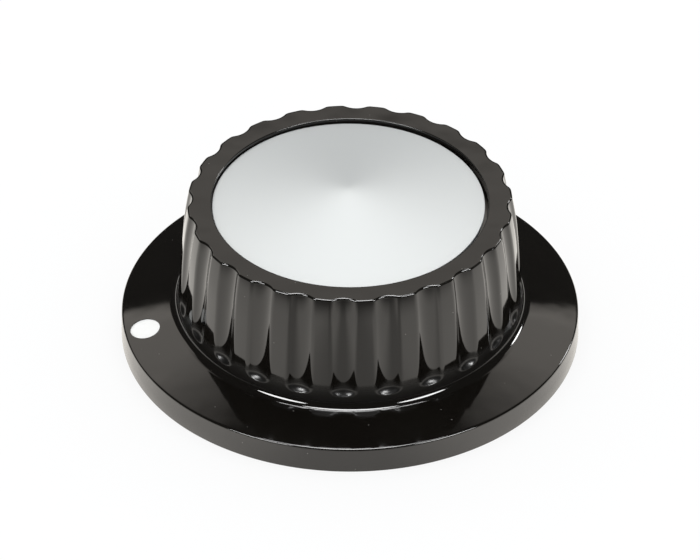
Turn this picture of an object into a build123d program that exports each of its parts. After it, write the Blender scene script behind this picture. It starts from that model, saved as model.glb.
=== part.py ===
"""Skirted control knob for a quarter-inch shaft.

One black moulding carries everything: a wide skirt, a fluted tapered grip and a ribbed hollow underneath.
A coned metal disc lies in the recess on top, a paint-filled dot on the skirt marks the setting, and a brass
bushing with two socket set screws clamps the shaft.

Frame: millimetres, +Z up along the shaft, origin on the shaft's axis in the plane of the skirt's foot.
The flutes and the set screws line up with X and Y, and the index dot lies close to +Y.
"""

import os
from math import atan2, cos, pi, radians, sin, sqrt, tan

from build123d import *

# Skirt
skirt_diameter = 57.15          # at the foot of the rim, the widest place
skirt_edge_height = 3.4         # foot to the top edge of the rim
skirt_slope_deg = 10.0          # fall of the skirt's top from the grip out to the rim
skirt_edge_radius = 0.25
skirt_wall = 2.2
rim_wall = 2.0
rim_draft_deg = 1.0

# Grip
grip_foot_diameter = 43.2       # over the lands, where the wall would meet the skirt's top
grip_lean_deg = 4.2             # of the lands, inwards to the top
ring_height = 20.15             # foot to the flat ring around the inlay
grip_foot_fillet = 1.2
grip_top_fillet = 0.5
grip_wall = 2.4                 # behind the deepest place of a flute
ceiling_wall = 2.2              # between the inlay's seat and the hollow

# Flutes, cut by a ball nose that leans with the wall
flute_count = 24
flute_nose_radius = 2.45
flute_depth = 0.55
flute_lip_radius = 1.2
flute_foot_land = 0.1           # plain strip between the grip's foot fillet and the end of a flute

# Inlay disc and its recess
ring_width = 3.56               # outside of the lands in to the edge of the disc
inlay_thickness = 0.5
inlay_rise = 2.45               # rim to apex
inlay_sink = 0.5                # rim of the disc below the ring
inlay_side_gap = 0.3
recess_edge_chamfer = 0.1

# Index dot
dot_diameter = 3.73
dot_edge_distance = 2.54        # middle of the dot in from the skirt's top edge
dot_turn_deg = 87.9             # from +X, a little off the nearest flute
dot_recess_depth = 0.45
dot_paint_thickness = 0.3

# Hollow, hub and ribs
hub_diameter = 16.0             # at its lower face
hub_draft_deg = 1.0
hub_setback = 1.0               # hub face above the skirt's foot
rib_thickness = 2.0
rib_setback = 1.5               # rib foot above the mouth of the hollow

# Shaft bushing
shaft_diameter = 6.35
shaft_clearance = 0.06          # on the diameter
bushing_diameter = 11.5
bushing_length = 13.0
bushing_stand_out = 0.3         # bushing face below the hub face
bushing_groove_width = 1.6
bushing_groove_depth = 0.5
bushing_groove_drop = 2.0       # top of the bushing down to the groove
bore_chamfer = 0.4

# Set screws
set_screw_diameter = 4.0
set_screw_length = 5.0
set_screw_height = 8.8          # foot of the skirt to the screws' axis
set_screw_back_off = 0.15       # point clear of the bore's wall
set_screw_point_diameter = 2.4
set_screw_cup_depth = 0.4
set_screw_end_chamfer = 0.3
set_screw_thread_gap = 0.03     # all round, in place of a cut thread
socket_across_flats = 2.0
socket_depth = 2.2
socket_side_count = 6
screw_hole_diameter = 4.6
screw_boss_wall = 1.7

# Places around the shaft, turned from +X
set_screw_turns_deg = (0.0, 270.0)
plain_rib_turns_deg = (90.0, 180.0)
full_turn_deg = 360.0

# How far a cutting shape runs past what it cuts
overrun = 1.0

# A radius is this share of a diameter
half_share = 0.5

# Sizes that follow from those above
skirt_radius = skirt_diameter * half_share
skirt_edge_rim = skirt_radius - skirt_edge_height * tan(radians(rim_draft_deg))
grip_foot = grip_foot_diameter * half_share
grip_foot_height = skirt_edge_height + (skirt_edge_rim - grip_foot) * tan(radians(skirt_slope_deg))
grip_lean = radians(grip_lean_deg)
grip_top = grip_foot - (ring_height - grip_foot_height) * tan(grip_lean)
inlay_radius = grip_top - ring_width
inlay_slope = inlay_rise / inlay_radius
recess_radius = inlay_radius + inlay_side_gap
dot_place_radius = skirt_edge_rim - dot_edge_distance
seat_rim_height = ring_height - inlay_sink - inlay_thickness
hollow_ceiling = seat_rim_height - ceiling_wall
bushing_foot = hub_setback - bushing_stand_out
bushing_top = bushing_foot + bushing_length
bushing_radius = bushing_diameter * half_share
bore_radius = (shaft_diameter + shaft_clearance) * half_share
screw_radius = set_screw_diameter * half_share
screw_hole_radius = screw_hole_diameter * half_share


def skirt_top_at(radius):
    """Height of the skirt's sloping top at a distance from the axis."""
    return skirt_edge_height + (skirt_edge_rim - radius) * tan(radians(skirt_slope_deg))


def hollow_radius_at(height):
    """Radius of the grip's inner wall, which leans with the outer one."""
    return grip_foot - (height - grip_foot_height) * tan(grip_lean) - flute_depth - grip_wall


def spun(corners, rounded=()):
    """Solid of revolution about Z from (radius, height) corners.

    Each entry of rounded gives one of the corners and the radius that rounds it.
    """
    profile = make_face(Polyline(*corners, close=True))
    for corner, radius in rounded:
        vertex = profile.vertices().sort_by_distance(Vector(*corner))[0]
        profile = fillet(vertex, radius)
    return revolve(Plane.XZ * profile, Axis.Z)


def along_x(shape, start, height):
    """Lay a shape that was built along Z from zero along +X, from a distance off the axis."""
    return Plane(origin=(start, 0, height), z_dir=(1, 0, 0)) * shape


def outer_form():
    """The outside before fluting: skirt, grip, ring and the coned seat for the inlay.

    It is turned by half a flute's pitch, so that the seam of the round surfaces runs along a land.
    """
    rim = (skirt_edge_rim, skirt_edge_height)
    foot = (grip_foot, grip_foot_height)
    corners = [
        (0, 0),
        (skirt_radius, 0),
        rim,
        foot,
        (grip_top, ring_height),
        (recess_radius + recess_edge_chamfer, ring_height),
        (recess_radius, ring_height - recess_edge_chamfer),
        (recess_radius, seat_rim_height - inlay_side_gap * inlay_slope),
        (0, seat_rim_height + inlay_rise),
    ]
    rounded = [(rim, skirt_edge_radius), (foot, grip_foot_fillet)]
    return Rot(0, 0, full_turn_deg / flute_count * half_share) * spun(corners, rounded)


def flute_cutter():
    """Ball-nosed cutter on the +X side, leaning with the grip's wall.

    Its nose stops where the rounded lip leaves the plain strip above the grip's foot fillet.
    """
    up_wall = Vector(-sin(grip_lean), 0, cos(grip_lean))
    off_wall = Vector(cos(grip_lean), 0, sin(grip_lean))
    centre_off = flute_nose_radius - flute_depth
    half_width = sqrt(flute_nose_radius**2 - centre_off**2)
    foot_angle = pi * half_share + radians(skirt_slope_deg) + grip_lean
    fillet_reach = grip_foot_fillet / tan(foot_angle * half_share)
    lip_reach = flute_lip_radius * tan(atan2(half_width, centre_off) * half_share)
    nose_place = fillet_reach + flute_foot_land + lip_reach + half_width
    nose = Vector(grip_foot, 0, grip_foot_height) + up_wall * nose_place + off_wall * centre_off
    shank = Cylinder(flute_nose_radius, ring_height, align=(Align.CENTER, Align.CENTER, Align.MIN))
    return Plane(origin=nose, x_dir=off_wall, z_dir=up_wall) * (shank + Sphere(flute_nose_radius))


def fluted(form):
    """Cut the flutes, round their lips, then round the outline of the ring."""
    cutter = flute_cutter()
    cutters = [Rot(0, 0, full_turn_deg * number / flute_count) * cutter for number in range(flute_count)]
    cut = form - cutters
    circular = (GeomType.CIRCLE, GeomType.ELLIPSE)
    lips = [edge for edge in new_edges(form, *cutters, combined=cut) if edge.geom_type not in circular]
    cut = cut.fillet(flute_lip_radius, lips)
    ring = cut.faces().filter_by(Axis.Z).sort_by(Axis.Z)[-1]
    return cut.fillet(grip_top_fillet, ring.outer_wire().edges())


def hollow():
    """Everything open from below, as if nothing stood in it: under the skirt and inside the grip."""
    rim_inside = skirt_radius - rim_wall
    mouth = hollow_radius_at(grip_foot_height)
    return spun(
        [
            (0, -overrun),
            (rim_inside, -overrun),
            (rim_inside, skirt_top_at(rim_inside) - skirt_wall),
            (mouth, skirt_top_at(mouth) - skirt_wall),
            (hollow_radius_at(hollow_ceiling), hollow_ceiling),
            (0, hollow_ceiling),
        ]
    )


def hub():
    """Tapered post that holds the bushing, down from the ceiling of the hollow."""
    top = hollow_ceiling + overrun
    foot_radius = hub_diameter * half_share
    top_radius = foot_radius + (top - hub_setback) * tan(radians(hub_draft_deg))
    return spun([(0, hub_setback), (foot_radius, hub_setback), (top_radius, top), (0, top)])


def plain_rib():
    """Web on the +X side between the hub and the grip's wall."""
    mouth = hollow_radius_at(grip_foot_height)
    foot = skirt_top_at(mouth) - skirt_wall + rib_setback
    height = hollow_ceiling + overrun - foot
    web = Box(grip_foot, rib_thickness, height, align=(Align.MIN, Align.CENTER, Align.MIN))
    return Pos(0, 0, foot) * web


def screw_boss():
    """Thick round-bottomed web on the +X side that a set screw's hole runs through."""
    radius = screw_hole_radius + screw_boss_wall
    height = hollow_ceiling + overrun - set_screw_height
    web = Box(grip_foot, radius / half_share, height, align=(Align.MIN, Align.CENTER, Align.MIN))
    round_foot = Cylinder(radius, grip_foot, align=(Align.CENTER, Align.CENTER, Align.MIN))
    return Pos(0, 0, set_screw_height) * web + along_x(round_foot, 0, set_screw_height)


def dot_plane():
    """Plane on the skirt's sloping top at the index dot, facing out of the surface."""
    slope = radians(skirt_slope_deg)
    middle = (dot_place_radius, 0, skirt_top_at(dot_place_radius))
    return Plane(origin=middle, x_dir=(cos(slope), 0, -sin(slope)), z_dir=(sin(slope), 0, cos(slope)))


def dot_disc(height):
    """Disc of the dot's diameter that stands on the floor of its recess."""
    disc = Cylinder(dot_diameter * half_share, height, align=(Align.CENTER, Align.CENTER, Align.MIN))
    return Rot(0, 0, dot_turn_deg) * (dot_plane() * (Pos(0, 0, -dot_recess_depth) * disc))


def bushing_blank():
    """The bushing's outside, with the groove that locks it in the moulding."""
    groove_top = bushing_top - bushing_groove_drop
    groove_foot = groove_top - bushing_groove_width
    groove_radius = bushing_radius - bushing_groove_depth
    return spun(
        [
            (0, bushing_foot),
            (bushing_radius, bushing_foot),
            (bushing_radius, groove_foot),
            (groove_radius, groove_foot),
            (groove_radius, groove_top),
            (bushing_radius, groove_top),
            (bushing_radius, bushing_top),
            (0, bushing_top),
        ]
    )


def screw_hole(radius, length):
    """Round hole on the +X side from the shaft's axis outwards, at the height of the set screws."""
    drill = Cylinder(radius, length, align=(Align.CENTER, Align.CENTER, Align.MIN))
    return along_x(drill, 0, set_screw_height)


def knob_body():
    """The black moulding: fluted outside, ribbed hollow, seats for the bushing, the dot and the screws."""
    standing = [hub()]
    standing += [Rot(0, 0, turn) * plain_rib() for turn in plain_rib_turns_deg]
    standing += [Rot(0, 0, turn) * screw_boss() for turn in set_screw_turns_deg]
    hole = screw_hole(screw_hole_radius, skirt_radius)
    holes = [Rot(0, 0, turn) * hole for turn in set_screw_turns_deg]
    body = fluted(outer_form()) - (hollow() - standing)
    return body - [bushing_blank(), dot_disc(dot_recess_depth + overrun)] - holes


def inlay_disc():
    """Coned sheet-metal disc that lies in the recess on top."""
    return spun(
        [
            (0, seat_rim_height + inlay_rise),
            (inlay_radius, seat_rim_height),
            (inlay_radius, seat_rim_height + inlay_thickness),
            (0, seat_rim_height + inlay_thickness + inlay_rise),
        ]
    )


def shaft_bushing():
    """Turned brass bushing with the shaft's bore, a lead-in and a tapped hole for each set screw."""
    bore = spun(
        [
            (0, bushing_foot - overrun),
            (bore_radius + bore_chamfer + overrun, bushing_foot - overrun),
            (bore_radius, bushing_foot + bore_chamfer),
            (bore_radius, bushing_top + overrun),
            (0, bushing_top + overrun),
        ]
    )
    hole = screw_hole(screw_radius + set_screw_thread_gap, bushing_diameter)
    holes = [Rot(0, 0, turn) * hole for turn in set_screw_turns_deg]
    return bushing_blank() - bore - holes


def set_screw():
    """Socket set screw with a cup point, on the +X side, its point just clear of the bore."""
    point_radius = set_screw_point_diameter * half_share
    outside = spun(
        [
            (0, set_screw_cup_depth),
            (point_radius, 0),
            (screw_radius, screw_radius - point_radius),
            (screw_radius, set_screw_length - set_screw_end_chamfer),
            (screw_radius - set_screw_end_chamfer, set_screw_length),
            (0, set_screw_length),
        ]
    )
    hexagon = RegularPolygon(socket_across_flats * half_share, socket_side_count, major_radius=False)
    socket = Pos(0, 0, set_screw_length - socket_depth) * extrude(hexagon, socket_depth + overrun)
    return along_x(outside - socket, bore_radius + set_screw_back_off, set_screw_height)


def main():
    """Write one file for each piece."""
    pieces = {
        "knob_body": knob_body(),
        "inlay_disc": inlay_disc(),
        "index_dot": dot_disc(dot_paint_thickness),
        "shaft_bushing": shaft_bushing(),
        "set_screws": Compound([Rot(0, 0, turn) * set_screw() for turn in set_screw_turns_deg]),
    }
    os.makedirs("parts", exist_ok=True)
    for name, shape in pieces.items():
        export_step(shape, f"parts/{name}.step")


main()
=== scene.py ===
"""Studio picture of a skirted control knob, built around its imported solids.

The moulding, the inlay and the index dot are drawn again as fine skins, because gloss shows every facet.
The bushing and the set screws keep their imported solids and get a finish.
Lengths are in millimetres up to the point where a mesh is written, which is in metres.
"""

import logging
import math
from dataclasses import dataclass, field
from enum import Enum
from typing import Sequence

import bpy
import numpy as np
from mathutils import Matrix, Vector


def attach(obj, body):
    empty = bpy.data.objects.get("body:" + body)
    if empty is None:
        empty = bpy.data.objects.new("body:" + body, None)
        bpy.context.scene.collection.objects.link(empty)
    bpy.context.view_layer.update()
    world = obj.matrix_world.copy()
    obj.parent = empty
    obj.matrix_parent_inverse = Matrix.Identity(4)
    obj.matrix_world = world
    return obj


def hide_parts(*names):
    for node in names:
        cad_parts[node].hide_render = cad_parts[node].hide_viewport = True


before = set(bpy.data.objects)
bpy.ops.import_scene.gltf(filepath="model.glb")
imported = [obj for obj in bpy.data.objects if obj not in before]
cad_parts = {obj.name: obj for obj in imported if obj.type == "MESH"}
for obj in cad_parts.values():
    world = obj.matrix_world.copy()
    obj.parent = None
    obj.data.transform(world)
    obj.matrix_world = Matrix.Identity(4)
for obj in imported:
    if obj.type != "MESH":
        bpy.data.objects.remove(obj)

METRES_PER_MM = 0.001
DOT_SPANS = 128                     # around the dot, the same on the paint and on the wall of its recess
NOISE_LOW, NOISE_HIGH = 0.3, 0.7    # between which a noise texture mostly lies
LOG = logging.getLogger("knob")

Band = tuple[float, float]          # start and end of a zone; a mask rises from zero to one over it


class Join(Enum):
    """How one closed skin is worked into another."""

    ADD = "UNION"
    CUT = "DIFFERENCE"


class Face(Enum):
    """Shape of a lamp's face."""

    OVAL = "ELLIPSE"
    OBLONG = "RECTANGLE"


def linear(code: str) -> tuple[float, float, float, float]:
    """Turn an sRGB hex colour into the linear values that shaders take.

    Args:
        code: Six hex digits, with or without a leading hash.

    Returns:
        Linear red, green, blue and an alpha of one.
    """
    digits = code.lstrip("#")
    shares = np.array([int(digits[start:start + 2], 16) for start in (0, 2, 4)]) / 255.0
    low, high = shares / 12.92, ((shares + 0.055) / 1.055) ** 2.4
    red, green, blue = np.where(shares <= 0.04045, low, high)
    return float(red), float(green), float(blue), 1.0


def ring(radius: np.ndarray | float, height: np.ndarray | float, angles: np.ndarray) -> np.ndarray:
    """Points of one ring about Z: (radius cos a, radius sin a, height).

    Args:
        radius: One radius, or one for each angle.
        height: One height, or one for each angle.
        angles: Angles around Z in radians.

    Returns:
        One row of x, y, z for each angle.
    """
    level = np.broadcast_to(np.asarray(height, float), angles.shape)
    return np.stack([radius * np.cos(angles), radius * np.sin(angles), level], axis=1)


def rounded(
    before: Sequence[float], corner: Sequence[float], after: Sequence[float], radius: float, steps: int
) -> np.ndarray:
    """Arc that rounds a corner of a flat outline.

    The arc's middle lies on the bisector of the corner, at the radius over the sine of half the corner's
    angle, and the arc turns about it from the foot on the first leg to the foot on the second.

    Args:
        before: Any point on the first leg.
        corner: The sharp corner.
        after: Any point on the second leg.
        radius: Radius of the rounding.
        steps: Number of spans along the arc.

    Returns:
        Points from the first leg to the second, one row each.
    """
    tip = np.asarray(corner, float)
    first = np.asarray(before, float) - tip
    second = np.asarray(after, float) - tip
    first, second = first / np.linalg.norm(first), second / np.linalg.norm(second)
    half = 0.5 * math.acos(float(np.clip(first @ second, -1.0, 1.0)))
    reach = radius / math.tan(half)
    bisector = (first + second) / np.linalg.norm(first + second)
    middle = tip + bisector * radius / math.sin(half)
    start, end = tip + first * reach - middle, tip + second * reach - middle
    sweep = math.pi - 2.0 * half
    share = np.linspace(0.0, 1.0, steps + 1)[:, None]
    return middle + (np.sin((1.0 - share) * sweep) * start + np.sin(share * sweep) * end) / math.sin(sweep)


def skin(
    rings: Sequence[np.ndarray], first_pole: Sequence[float], last_pole: Sequence[float]
) -> tuple[np.ndarray, list]:
    """Closed skin from pole to pole over a stack of rings.

    Rings of the same count are joined by quads. Where one ring has several times the points of its
    neighbour, each span of the coarse ring is joined to its spans of the fine one by a single flat face.

    Args:
        rings: Rings of points in order, counter-clockwise seen from above on a top side.
        first_pole: Point that closes the first ring.
        last_pole: Point that closes the last ring.

    Returns:
        The points, and the faces as lists of point numbers.
    """
    points = np.concatenate([np.asarray([first_pole], float), *rings, np.asarray([last_pole], float)])
    starts = 1 + np.concatenate([[0], np.cumsum([len(one) for one in rings])])
    faces: list = []
    here = starts[0] + np.arange(len(rings[0]))
    faces += np.stack([np.zeros_like(here), here, np.roll(here, -1)], axis=1).tolist()
    for number in range(len(rings) - 1):
        inner = starts[number] + np.arange(len(rings[number]))
        outer = starts[number + 1] + np.arange(len(rings[number + 1]))
        if len(inner) == len(outer):
            faces += np.stack([inner, outer, np.roll(outer, -1), np.roll(inner, -1)], axis=1).tolist()
        elif len(inner) < len(outer):
            ratio = len(outer) // len(inner)
            fan = [np.roll(outer, -step)[::ratio] for step in range(ratio + 1)]
            faces += np.stack([inner, *fan, np.roll(inner, -1)], axis=1).tolist()
        else:
            ratio = len(inner) // len(outer)
            fan = [np.roll(inner, -step)[::ratio] for step in range(ratio, 0, -1)]
            faces += np.stack([inner[::ratio], outer, np.roll(outer, -1), *fan], axis=1).tolist()
    here = starts[-2] + np.arange(len(rings[-1]))
    faces += np.stack([here, np.full_like(here, len(points) - 1), np.roll(here, -1)], axis=1).tolist()
    return points, faces


def turned(outline: np.ndarray, spans: int) -> tuple[np.ndarray, list]:
    """Closed skin of an outline spun about Z; its first and last points lie on the axis.

    Args:
        outline: Rows of radius and height, outwards on the top side and back in below.
        spans: Number of spans around.

    Returns:
        The points and faces of the skin.
    """
    angles = np.arange(spans) * (2.0 * math.pi / spans)
    rings = [ring(radius, height, angles) for radius, height in outline[1:-1]]
    return skin(rings, (0.0, 0.0, outline[0][1]), (0.0, 0.0, outline[-1][1]))


def bar(section: np.ndarray, start: float, end: float) -> tuple[np.ndarray, list]:
    """Closed bar: a flat section in Y and Z carried along X.

    Args:
        section: Rows of y and z, counter-clockwise seen from +X.
        start: X of the first end.
        end: X of the second end.

    Returns:
        The points and faces of the bar.
    """
    count = len(section)
    near = np.column_stack([np.full(count, start), section])
    far = np.column_stack([np.full(count, end), section])
    here = np.arange(count)
    sides = np.stack([here, np.roll(here, -1), np.roll(here, -1) + count, here + count], axis=1)
    return np.concatenate([near, far]), [here[::-1].tolist(), (here + count).tolist(), *sides.tolist()]


def new_piece(name: str, points: np.ndarray, faces: list, place: Matrix | None = None) -> bpy.types.Object:
    """Write a skin into a mesh object in the scene.

    Args:
        name: Name of the object.
        points: Rows of x, y, z in millimetres.
        faces: Lists of point numbers.
        place: Where the skin goes, in millimetres, when it was drawn about its own origin.

    Returns:
        The new object, at the scene's origin.
    """
    if place is not None:
        turn = np.array(place)
        points = points @ turn[:3, :3].T + turn[:3, 3]
    mesh = bpy.data.meshes.new(name)
    mesh.from_pydata((points * METRES_PER_MM).tolist(), [], faces)
    mesh.update()
    piece = bpy.data.objects.new(name, mesh)
    bpy.context.scene.collection.objects.link(piece)
    return piece


def work_in(piece: bpy.types.Object, tools: Sequence[bpy.types.Object], join: Join) -> None:
    """Add closed skins to a piece or cut them out of it, then drop them.

    Args:
        piece: The piece that is changed.
        tools: The skins that are worked in.
        join: Whether they are added or cut.
    """
    for tool in tools:
        step = piece.modifiers.new(tool.name, "BOOLEAN")
        step.operation, step.solver, step.object = join.value, "MANIFOLD", tool
    graph = bpy.context.evaluated_depsgraph_get()
    made = bpy.data.meshes.new_from_object(piece.evaluated_get(graph))
    piece.modifiers.clear()
    old, piece.data = piece.data, made
    made.name = piece.name
    bpy.data.meshes.remove(old)
    for tool in tools:
        mesh = tool.data
        bpy.data.objects.remove(tool)
        bpy.data.meshes.remove(mesh)


def smooth(piece: bpy.types.Object, crease_deg: float) -> None:
    """Shade a piece smooth, with a crease where two faces meet at more than an angle."""
    piece.data.shade_smooth()
    piece.data.set_sharp_from_angle(angle=math.radians(crease_deg))


def add_node(
    tree: bpy.types.NodeTree, kind: str, settings: dict | None = None, links: dict | None = None
) -> bpy.types.Node:
    """Add a shader node, set it and link its inputs.

    Args:
        tree: The node tree that gets it.
        kind: Blender's name of the node type.
        settings: Values by name, of the node itself or of its input sockets.
        links: Output sockets by the name or number of the input that takes them.

    Returns:
        The new node.
    """
    node = tree.nodes.new(kind)
    for name, value in (settings or {}).items():
        if isinstance(name, str) and hasattr(node, name):
            setattr(node, name, value)
        else:
            node.inputs[name].default_value = value
    for name, output in (links or {}).items():
        tree.links.new(output, node.inputs[name])
    return node


def bare_material(name: str) -> tuple[bpy.types.Material, bpy.types.NodeTree]:
    """New material with an empty node tree.

    Args:
        name: Name of the material.

    Returns:
        The material and its node tree.
    """
    material = bpy.data.materials.new(name)
    material.use_nodes = True
    material.node_tree.nodes.clear()
    return material, material.node_tree


def per_mm(wavelength: float) -> float:
    """Scale of a pattern on Object coordinates whose features are this many millimetres apart."""
    return 1.0 / (wavelength * METRES_PER_MM)


def from_axis(tree: bpy.types.NodeTree, place: bpy.types.NodeSocket) -> bpy.types.NodeSocket:
    """Distance from Z, which is the length of a place with its height taken away.

    Args:
        tree: The node tree that gets the nodes.
        place: A place in Object coordinates.

    Returns:
        The distance's output socket, in metres.
    """
    flat = add_node(tree, "ShaderNodeVectorMath", {"operation": "MULTIPLY", 1: (1.0, 1.0, 0.0)}, {0: place})
    reach = add_node(tree, "ShaderNodeVectorMath", {"operation": "LENGTH"}, {0: flat.outputs["Vector"]})
    return reach.outputs["Value"]


def ramp(
    tree: bpy.types.NodeTree, value: bpy.types.NodeSocket, start: float, end: float
) -> bpy.types.NodeSocket:
    """Mask that rises smoothly from zero to one between two lengths.

    Args:
        tree: The node tree that gets the node.
        value: A length in metres.
        start: Where the mask is still zero, in millimetres.
        end: Where it reaches one, in millimetres; less than the start for a mask that falls.

    Returns:
        The mask's output socket.
    """
    low, high = min(start, end), max(start, end)
    outputs = (0.0, 1.0) if end > start else (1.0, 0.0)
    return add_node(
        tree, "ShaderNodeMapRange",
        {"interpolation_type": "SMOOTHSTEP", "From Min": low * METRES_PER_MM,
         "From Max": high * METRES_PER_MM, "To Min": outputs[0], "To Max": outputs[1]},
        {"Value": value},
    ).outputs["Result"]


def both(
    tree: bpy.types.NodeTree, first: bpy.types.NodeSocket, second: bpy.types.NodeSocket
) -> bpy.types.NodeSocket:
    """Mask that is the product of two masks."""
    return add_node(tree, "ShaderNodeMath", {"operation": "MULTIPLY"}, {0: first, 1: second}).outputs[0]


@dataclass(frozen=True)
class GlossMoulding:
    """Black thermoset, compression-moulded in a polished tool, its rim trimmed afterwards.

    To the eye it is near black with a clear gloss: what shows is the room, bent a little by the tool's
    polish, with faint handling marks and a few specks of dust. The trimmed rim is dull and greyer, the
    grip's top edge is worn in places, and the flutes' ball ends, which a polishing stick hardly reaches
    in the tool, have a softer gloss.
    """

    name: str = "thermoset_moulded_gloss"
    dark: str = "#0d0b09"
    light: str = "#12100d"
    trimmed: str = "#343230"
    worn: str = "#262421"
    dust: str = "#8d8a84"
    index: float = 1.5
    gloss: float = 0.04
    gloss_marks: float = 0.08
    gloss_ends: float = 0.28
    gloss_trimmed: float = 0.24
    gloss_worn: float = 0.2
    gloss_dust: float = 0.6
    mark_size: float = 9.0              # mm, handling marks
    dulling_marks: Band = (0.35, 0.75)  # strength of the marks over which they dull the gloss
    wearing_marks: Band = (0.5, 0.65)   # and over which they wear the top edge
    polish_wave: float = 7.0            # mm, unevenness left by the tool's polish
    polish_height: float = 0.055        # mm
    trim_wave: float = 0.35             # mm, scrape marks of the trimming
    trim_height: float = 0.006          # mm
    dust_spacing: float = 0.9           # mm, in space, of which the surface meets a few
    dust_size: float = 0.07             # mm
    dust_share: float = 0.14            # share of the places that hold a speck
    dust_core: float = 0.6              # share of a speck's size up to its thinning edge
    dust_cover: float = 0.6             # how far a speck hides what lies under it
    rim_reach: Band = (28.2, 28.3)      # mm from the axis, where the trimmed wall begins
    rim_height: Band = (3.3, 3.1)       # mm, downwards, and where its top is
    ends_reach: Band = (19.1, 19.3)     # mm from the axis, where the flutes' ball ends begin
    ends_foot: Band = (5.0, 5.4)        # mm, where their foot is
    ends_top: Band = (8.1, 6.9)         # mm, downwards, and their top
    edge_reach: Band = (19.6, 19.8)     # mm from the axis, where the grip's top edge begins
    edge_height: Band = (19.75, 19.85)  # mm, and where its foot is

    def dust_mask(self, tree: bpy.types.NodeTree, place: bpy.types.NodeSocket) -> bpy.types.NodeSocket:
        """Mask of the specks of dust: the middles of a few cells, picked by chance, of a fine cell pattern.

        Args:
            tree: The node tree that gets the nodes.
            place: A place in Object coordinates.

        Returns:
            The mask's output socket.
        """
        cells = add_node(tree, "ShaderNodeTexVoronoi", {"Scale": per_mm(self.dust_spacing)}, {"Vector": place})
        chance = add_node(tree, "ShaderNodeSeparateColor", {}, {0: cells.outputs["Color"]}).outputs["Red"]
        few = add_node(
            tree, "ShaderNodeMath", {"operation": "GREATER_THAN", 1: 1.0 - self.dust_share}, {0: chance}
        ).outputs[0]
        size = self.dust_size / self.dust_spacing
        near = add_node(
            tree, "ShaderNodeMapRange",
            {"From Min": self.dust_core * size, "From Max": size, "To Min": self.dust_cover, "To Max": 0.0},
            {"Value": cells.outputs["Distance"]},
        ).outputs["Result"]
        return both(tree, few, near)

    def surface(
        self, tree: bpy.types.NodeTree, place: bpy.types.NodeSocket, rim: bpy.types.NodeSocket
    ) -> bpy.types.NodeSocket:
        """Surface with the slow wave of the tool's polish, and with scrape marks where the rim is trimmed.

        Args:
            tree: The node tree that gets the nodes.
            place: A place in Object coordinates.
            rim: Mask of the trimmed rim.

        Returns:
            The normal's output socket.
        """
        wave, fine = (
            add_node(tree, "ShaderNodeTexNoise", {"Scale": per_mm(size), "Detail": detail}, {"Vector": place})
            for size, detail in ((self.polish_wave, 1.5), (self.trim_wave, 3.0))
        )
        polish = add_node(
            tree, "ShaderNodeBump",
            {"Strength": 1.0, "Distance": self.polish_height * METRES_PER_MM}, {"Height": wave.outputs["Fac"]},
        )
        scrape = add_node(
            tree, "ShaderNodeBump", {"Distance": self.trim_height * METRES_PER_MM},
            {"Height": fine.outputs["Fac"], "Strength": rim, "Normal": polish.outputs["Normal"]},
        )
        return scrape.outputs["Normal"]

    def build(self) -> bpy.types.Material:
        """Make the material.

        A noise of marks varies colour and gloss. Masks by distance from the axis and by height dull the rim
        and the ball ends and wear the top edge, and the specks of dust lie over all of it.

        Returns:
            The finished material.
        """
        material, tree = bare_material(self.name)
        place = add_node(tree, "ShaderNodeTexCoord").outputs["Object"]
        reach = from_axis(tree, place)
        height = add_node(tree, "ShaderNodeSeparateXYZ", {}, {0: place}).outputs["Z"]
        marks = add_node(
            tree, "ShaderNodeTexNoise",
            {"Scale": per_mm(self.mark_size), "Detail": 5.0, "Roughness": 0.6, "Distortion": 0.4},
            {"Vector": place},
        ).outputs["Fac"]
        rim = both(tree, ramp(tree, reach, *self.rim_reach), ramp(tree, height, *self.rim_height))
        balls = both(tree, ramp(tree, height, *self.ends_foot), ramp(tree, height, *self.ends_top))
        ends = both(tree, ramp(tree, reach, *self.ends_reach), balls)
        edge = both(tree, ramp(tree, reach, *self.edge_reach), ramp(tree, height, *self.edge_height))
        uneven = add_node(
            tree, "ShaderNodeMapRange",
            {"From Min": self.wearing_marks[0], "From Max": self.wearing_marks[1]}, {"Value": marks},
        ).outputs["Result"]
        tone = add_node(
            tree, "ShaderNodeMix",
            {"data_type": "RGBA", 6: linear(self.dark), 7: linear(self.light)}, {"Factor": marks},
        ).outputs[2]
        gloss = add_node(
            tree, "ShaderNodeMapRange",
            {"From Min": self.dulling_marks[0], "From Max": self.dulling_marks[1],
             "To Min": self.gloss, "To Max": self.gloss_marks},
            {"Value": marks},
        ).outputs["Result"]
        gloss = add_node(
            tree, "ShaderNodeMix", {"data_type": "FLOAT", 3: self.gloss_ends}, {"Factor": ends, 2: gloss}
        ).outputs[0]
        for share, colour, dullness in (
            (rim, self.trimmed, self.gloss_trimmed),
            (both(tree, edge, uneven), self.worn, self.gloss_worn),
            (self.dust_mask(tree, place), self.dust, self.gloss_dust),
        ):
            tone = add_node(
                tree, "ShaderNodeMix", {"data_type": "RGBA", 7: linear(colour)}, {"Factor": share, 6: tone}
            ).outputs[2]
            gloss = add_node(
                tree, "ShaderNodeMix", {"data_type": "FLOAT", 3: dullness}, {"Factor": share, 2: gloss}
            ).outputs[0]
        shader = add_node(
            tree, "ShaderNodeBsdfPrincipled", {"IOR": self.index, "Metallic": 0.0},
            {"Base Color": tone, "Roughness": gloss, "Normal": self.surface(tree, place, rim)},
        )
        add_node(tree, "ShaderNodeOutputMaterial", {}, {"Surface": shader.outputs["BSDF"]})
        return material


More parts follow.
